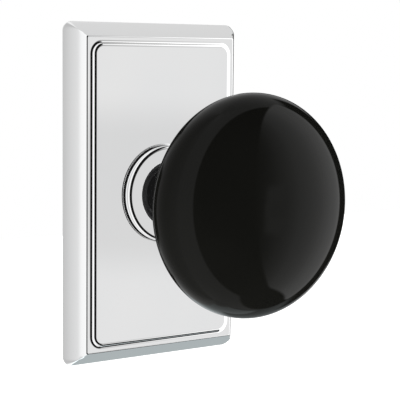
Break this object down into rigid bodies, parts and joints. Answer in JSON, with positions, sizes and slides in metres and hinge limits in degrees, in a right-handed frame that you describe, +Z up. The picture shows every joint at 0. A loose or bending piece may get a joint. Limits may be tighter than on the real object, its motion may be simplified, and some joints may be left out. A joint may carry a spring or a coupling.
{
  "type": "door knob",
  "caption": "Black porcelain door knob on a chrome trumpet neck, turning against a return spring in a moulded rectangular chrome rosette for a bored door.",
  "frame": {"origin": "where the spindle axis crosses the face of the door, midway between the two threaded posts", "axes": "+X across the door to the right as seen from the knob's side, +Y into the door along the spindle, +Z up; the knob points to -Y"},
  "size_m": [0.063, 0.0985, 0.1026],
  "materials": {
    "polished_chrome": "polished",
    "black_porcelain": "gloss",
    "zinc_steel": "satin",
    "bright_steel": "satin",
    "black_steel": "satin",
    "spring_steel": "satin",
    "sintered_bronze": "satin",
    "bush_nylon": "matte",
    "cement": "matte",
    "cushion_rubber": "matte"
  },
  "bodies": {
    "rose": {"rosette": "polished_chrome", "rose_collar": "polished_chrome", "collar_nut": "zinc_steel", "neck_bush": "bush_nylon", "spring_washer": "spring_steel", "mounting_plate": "zinc_steel", "threaded_posts": "zinc_steel", "wood_screws": "bright_steel", "retaining_clips": "spring_steel", "clip_rivets": "bright_steel", "spring_housing": "zinc_steel", "cassette_cover": "zinc_steel", "cassette_rivets": "bright_steel", "stop_pin": "bright_steel", "return_spring": "spring_steel"},
    "knob": {"knob_head": "black_porcelain", "cement_bed": "cement", "cushion_washer": "cushion_rubber", "knob_neck": "polished_chrome", "spindle_screw": "black_steel", "spindle": "bright_steel", "thrust_washer": "bright_steel", "retaining_ring": "spring_steel", "spring_rotor": "sintered_bronze"}
  },
  "joints": [
    {"name": "knob_turn", "type": "hinge", "parent": "rose", "child": "knob", "pos_m": [0, 0, 0], "axis": [0, 1, 0], "range_deg": [-60, 60], "stiffness_Nm_per_rad": 0.35, "deforming": ["return_spring"]}
  ]
}
